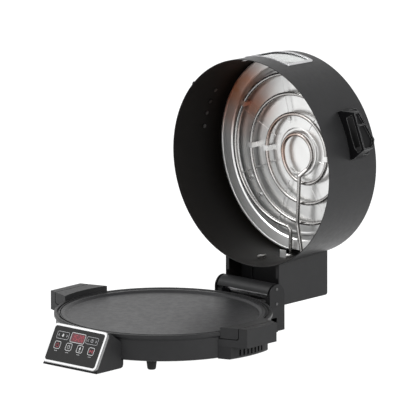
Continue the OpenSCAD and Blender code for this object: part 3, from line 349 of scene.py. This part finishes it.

# A painted warm reflection on the reflector's slope at the upper left, and heat tints round the
# tube's first turn
SLOPE_AT = (-118 * MM, LID_RIM_Y + 103 * MM, LID_AXIS_Z + 72 * MM)
COIL_AT = (-20 * MM, LID_RIM_Y + 99 * MM, LID_AXIS_Z + 20 * MM)
# painted reflection: a warm orange glow on the reflector's slope
overlay(FINISH["bright_steel"], (0.66, 0.26, 0.13),
        lambda t: near(t, SLOPE_AT, 88 * MM, 1.0, 22))
overlay(FINISH["heater_steel"], (0.42, 0.22, 0.14),
        lambda t: near(t, COIL_AT, 75 * MM, 0.7, 35))

# Painted highlights on the edges of the lid's grips
overlay(FINISH["grip_plastic"], (0.14, 0.14, 0.14), lambda t: edges(t, 1.1 * MM, 0.9))
# Painted dark reflections on the sides and edges of the panel's frame
overlay(FINISH["bezel_chrome"], (0.22, 0.22, 0.22), lambda t: turned_from(t, PANEL_OUT, 0.9),
        lambda t: edges(t, 0.9 * MM, 0.8))

dull_inside(FINISH["lid_paint"], (0.006, 0.0052, 0.0046), rough=0.6, shine=0.17)


def paint(obj, material):
    obj.data.materials.clear()
    obj.data.materials.append(material)


for part in frame["record"]["subparts"]:
    paint(NODES[part["node"]], FINISH[part["material_slot"]])

# ---- printed marks on the touch panel ------------------------------------

# Height of the ink over the glass
INK = 0.03 * MM

# Places on the panel, in mm across from its middle and up from its lower edge
DISPLAY_AT = (-0.6, 45.0)
LEFT_FIELD_AT = (-31.0, 45.0)
RIGHT_FIELD_AT = (28.3, 45.3)
KEYS_ACROSS = (-35.7, -12.8, 9.8, 32.9)
KEYS_UP = 29.2
CAPTION_UP = 20.2

# Outlines, in mm: width, height, corner radius
FIELD_SHAPE = (23.4, 11.2, 2.2)
KEY_SHAPE = (11.4, 11.4, 2.4)
DISPLAY_SHAPE = (28.2, 14.8, 2.4)
LIT_SHAPE = (25.6, 12.8, 1.4)

# Line widths, in mm
THIN, MIDDLE, THICK, DISPLAY_LINE = 0.5, 0.6, 0.8, 0.85

# Icons, in mm: an arrowhead's tip from its field's middle, its length and half its height, the
# radii of the round ones, and the sizes of the drop shapes
ARROW_TIP = 8.9
ARROW_SHAPE = (1.9, 1.8)
CLOCK_R, DISH_R, POWER_R = 2.5, 2.7, 2.9
LARGE_DROP, SMALL_DROP = 5.0, 4.4

# A key's caption and the pause sign: each bar's offset across, its width and its height, in mm
CAPTION_BARS = ((-1.7, 2.2, 0.7), (1.3, 3.0, 0.7))
PAUSE_BARS = ((1.6, 1.0, 5.2), (3.4, 1.0, 5.2))

# Offset of the figures from the display's middle, with what they show
FIGURES = ((-9.6, "1"), (-3.8, "5"), (3.4, "2"), (9.2, "0"))
FIGURE_SHAPE = (3.7, 8.2)
FIGURE_BAR = 1.2

# Bars of a seven segment figure: place in halves of its width and height, and if it lies flat
BARS = {"a": (0, 1, True), "g": (0, 0, True), "d": (0, -1, True), "b": (1, 0.5, False),
        "c": (1, -0.5, False), "f": (-1, 0.5, False), "e": (-1, -0.5, False)}
LIT_BARS = {"0": "abcdef", "1": "bc", "2": "abged", "5": "afgcd"}


def panel_point(x, s, h):
    """The point x across and s up the panel, in mm, and h metres above its glass."""
    return (Vector((x * MM, 0, 0)) + PANEL_UP * (PANEL_EDGE + s * MM)
            + PANEL_OUT * (PANEL_GLASS + h))


class Marks:
    """Flat printed shapes on the panel, drawn in mm across and up its face."""

    def __init__(self, height=INK):
        self.points = []
        self.faces = []
        self.height = height

    def fill(self, outline):
        start = len(self.points)
        self.points += [panel_point(x, s, self.height) for x, s in outline]
        self.faces.append(tuple(range(start, start + len(outline))))

    def bar(self, x, s, w, h):
        """A filled rectangle about (x, s)."""
        self.fill([(x - w / 2, s - h / 2), (x + w / 2, s - h / 2), (x + w / 2, s + h / 2),
                   (x - w / 2, s + h / 2)])

    def line(self, path, width, closed=False):
        """A line of that width along the path, mitred at its corners."""
        count = len(path)
        sides = []
        for i, here in enumerate(path):
            before = path[i - 1] if (i or closed) else None
            after = path[(i + 1) % count] if (i < count - 1 or closed) else None
            ways = [Vector((b[0] - a[0], b[1] - a[1])).normalized()
                    for a, b in ((before, here), (here, after)) if a and b]
            along = sum(ways, Vector((0, 0))).normalized()
            across = Vector((-along.y, along.x))
            square_to_first = Vector((-ways[0].y, ways[0].x))
            half = width / 2 / max(0.5, abs(square_to_first.dot(across)))
            sides.append(((here[0] + across.x * half, here[1] + across.y * half),
                          (here[0] - across.x * half, here[1] - across.y * half)))
        for i in range(count if closed else count - 1):
            a, b = sides[i], sides[(i + 1) % count]
            self.fill([a[1], b[1], b[0], a[0]])

    def piece(self, name, material):
        """Makes the marks one piece, which rides on the base."""
        mesh = bpy.data.meshes.new(name)
        mesh.from_pydata(self.points, [], self.faces)
        obj = bpy.data.objects.new(name, mesh)
        bpy.context.scene.collection.objects.link(obj)
        paint(obj, material)
        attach(obj, "base")


def rounded(x, s, w, h, r):
    """The outline of a rounded rectangle about (x, s)."""
    points = []
    for quarter, (cx, cy) in enumerate(((1, 1), (-1, 1), (-1, -1), (1, -1))):
        for step in range(7):
            a = math.radians(90 * quarter + 15 * step)
            points.append((x + cx * (w / 2 - r) + r * math.cos(a),
                           s + cy * (h / 2 - r) + r * math.sin(a)))
    return points


def arc(x, s, r, a0, a1, steps=16):
    """Points round (x, s) from one angle to another, in degrees."""
    angles = [math.radians(a0 + (a1 - a0) * i / steps) for i in range(steps + 1)]
    return [(x + r * math.cos(a), s + r * math.sin(a)) for a in angles]


def flame(x, s, size):
    """The outline of a plain drop shape with a bent tip."""
    points = []
    for i in range(24):
        a = 2 * math.pi * i / 24
        tip = max(0, math.sin(a))
        reach = 0.36 + 0.28 * tip ** 3
        points.append((x + size * (reach * math.cos(a) * (1 - 0.45 * tip) + 0.06 * tip),
                       s + size * (reach * 1.05 * math.sin(a) - 0.06)))
    return points


def arrowheads(marks, x, s):
    """One arrowhead at each end of a field, pointing outwards."""
    length, half = ARROW_SHAPE
    for way in (-1, 1):
        tip = x + way * ARROW_TIP
        tail = tip - way * length
        marks.line([(tail, s + half), (tip, s), (tail, s - half)], MIDDLE)


def figure(marks, x, s, which):
    """A seven segment figure about (x, s)."""
    w, h = FIGURE_SHAPE
    t = FIGURE_BAR / 2
    for key in LIT_BARS[which]:
        across, up, flat = BARS[key]
        half = (w if flat else h / 2) / 2 - FIGURE_BAR * 0.35
        if flat:
            shape = [(-half, 0), (-half + t, -t), (half - t, -t), (half, 0), (half - t, t),
                     (-half + t, t)]
        else:
            shape = [(0, -half), (t, -half + t), (t, half - t), (0, half), (-t, half - t),
                     (-t, -half + t)]
        marks.fill([(x + across * w / 2 + px, s + up * h / 2 + py) for px, py in shape])


def draw_fields():
    """Thin marks: the outlines of the two setting fields, a clock, and the keys' captions."""
    marks = Marks()
    for x, s in (LEFT_FIELD_AT, RIGHT_FIELD_AT):
        marks.line(rounded(x, s, *FIELD_SHAPE), THIN, True)
        arrowheads(marks, x, LEFT_FIELD_AT[1])
    x, s = RIGHT_FIELD_AT
    marks.line(arc(x, s, CLOCK_R, 0, 345), THIN)
    marks.line([(x, s + 1.6), (x, s), (x + 1.3, s)], THIN)
    for x in KEYS_ACROSS:
        for aside, w, h in CAPTION_BARS:
            marks.bar(x + aside, CAPTION_UP, w, h)
    marks.piece("panel_fields", printed("mark_pale", (0.42, 0.42, 0.43), 0.12))


def draw_keys():
    """Bright marks: the outlines of the keys and the display, and the plain icons."""
    marks = Marks()
    for x in KEYS_ACROSS:
        marks.line(rounded(x, KEYS_UP, *KEY_SHAPE), THICK, True)
    marks.line(rounded(*DISPLAY_AT, *DISPLAY_SHAPE), DISPLAY_LINE, True)
    marks.fill(flame(*LEFT_FIELD_AT, LARGE_DROP))
    # the two middle keys: a round dish with a slice line, and a flame over a bar
    dish_x, heat_x = KEYS_ACROSS[1:3]
    marks.line(arc(dish_x, KEYS_UP, DISH_R, 30, 360), THIN)
    marks.line([(dish_x + DISH_R, KEYS_UP), (dish_x, KEYS_UP), (dish_x + 2.2, KEYS_UP + 1.5)],
               THIN)
    marks.fill(flame(heat_x, KEYS_UP + 0.8, SMALL_DROP))
    marks.bar(heat_x, KEYS_UP - 2.9, 5.0, MIDDLE)
    marks.piece("panel_keys", printed("mark_bright", (0.5, 0.5, 0.5), 0.12))


def draw_power_icons():
    """Red marks on the outer keys: an on and off sign, and a start and pause sign."""
    marks = Marks()
    power_x, start_x = KEYS_ACROSS[0], KEYS_ACROSS[-1]
    marks.line(arc(power_x, KEYS_UP - 0.3, POWER_R, 125, 415), THICK)
    marks.line([(power_x, KEYS_UP + 0.6), (power_x, KEYS_UP + 3.7)], THICK)
    marks.fill([(start_x - 3.2, KEYS_UP - 2.7), (start_x + 0.6, KEYS_UP),
                (start_x - 3.2, KEYS_UP + 2.7)])
    for aside, w, h in PAUSE_BARS:
        marks.bar(start_x + aside, KEYS_UP, w, h)
    marks.piece("panel_power_icons", printed("mark_red", (0.24, 0.02, 0.035), 0.16))


def draw_display():
    """The display: a dim field, and plain figures with a colon over it."""
    field = Marks()
    field.fill(rounded(*DISPLAY_AT, *LIT_SHAPE))
    field.piece("display_field", printed("display_dim", (0.07, 0.006, 0.012), 0.3))
    marks = Marks(INK * 2)
    x, s = DISPLAY_AT
    for aside, which in FIGURES:
        figure(marks, x + aside, s, which)
    for up in (-1.9, 1.9):
        marks.bar(x - 0.3, s + up, 1.0, 1.0)
    marks.piece("display_figures", printed("display_red", (0.28, 0.02, 0.035), 0.25))


draw_fields()
draw_keys()
draw_power_icons()
draw_display()

# ---- studio --------------------------------------------------------------

FLOOR_REACH = 40
FLOOR_Z = -0.5 * MM

# What the camera sees of the floor: its own light, and how pale the shadows leave it
FLOOR_LIGHT = 1.04
FLOOR_GREY = 0.16

# Lamps: place, target, width, height and power
LAMPS = {
    "key": ((-0.9, -1.1, 1.6), (0, 0, 0.15), 1.2, 0.9, 22),
    "right": ((2.0, 0.1, 0.8), (0, 0.05, 0.2), 0.8, 1.2, 30),
    "front": ((0.3, -2.0, 0.7), (0, 0, 0.2), 1.0, 0.6, 5),
}


def make_floor():
    """A white floor that is pale in what it lights, and keeps a faint shadow."""
    corners = ((-1, -1), (1, -1), (1, 1), (-1, 1))
    mesh = bpy.data.meshes.new("floor")
    mesh.from_pydata([(x * FLOOR_REACH, y * FLOOR_REACH, FLOOR_Z) for x, y in corners], [],
                     [(0, 1, 2, 3)])
    floor = bpy.data.objects.new("floor", mesh)
    bpy.context.scene.collection.objects.link(floor)
    m, tree, shader = new_material("floor")
    feed(tree, shader, {"Base Color": (0.9, 0.9, 0.9, 1), "Roughness": 0.9,
                        "Specular IOR Level": 0.0})
    white = make_node(tree, "Emission", {0: (1, 1, 1, 1), 1: FLOOR_LIGHT})
    grey = make_node(tree, "BsdfDiffuse", {0: (FLOOR_GREY, FLOOR_GREY, FLOOR_GREY, 1)})
    seen = make_node(tree, "AddShader", {0: white.outputs[0], 1: grey.outputs[0]})
    both = make_node(tree, "MixShader", {0: seen_rays(tree), 1: shader.outputs[0],
                                         2: seen.outputs[0]})
    feed(tree, node_of(m, "OUTPUT_MATERIAL"), {0: both.outputs[0]})
    paint(floor, m)


def make_world():
    """Soft pale light, with a white background for what is seen of it."""
    world = bpy.data.worlds.new("world")
    bpy.context.scene.world = world
    world.use_nodes = True
    tree = world.node_tree
    tree.nodes.clear()
    soft = make_node(tree, "Background", {0: (0.95, 0.97, 1.0, 1), 1: 0.55})
    white = make_node(tree, "Background", {0: (1, 1, 1, 1), 1: 1.0})
    both = make_node(tree, "MixShader", {0: seen_rays(tree), 1: soft.outputs[0],
                                         2: white.outputs[0]})
    make_node(tree, "OutputWorld", {0: both.outputs[0]})


def make_lamp(name, place, target, width, height, power):
    data = bpy.data.lights.new(name, "AREA")
    data.shape = "RECTANGLE"
    data.size = width
    data.size_y = height
    data.energy = power
    lamp = bpy.data.objects.new(name, data)
    bpy.context.scene.collection.objects.link(lamp)
    lamp.location = place
    lamp.rotation_euler = (Vector(target) - Vector(place)).to_track_quat("-Z", "Y").to_euler()


make_floor()
make_world()
for lamp_name, lamp_facts in LAMPS.items():
    make_lamp(lamp_name, *lamp_facts)

bpy.context.scene.view_settings.view_transform = "Standard"
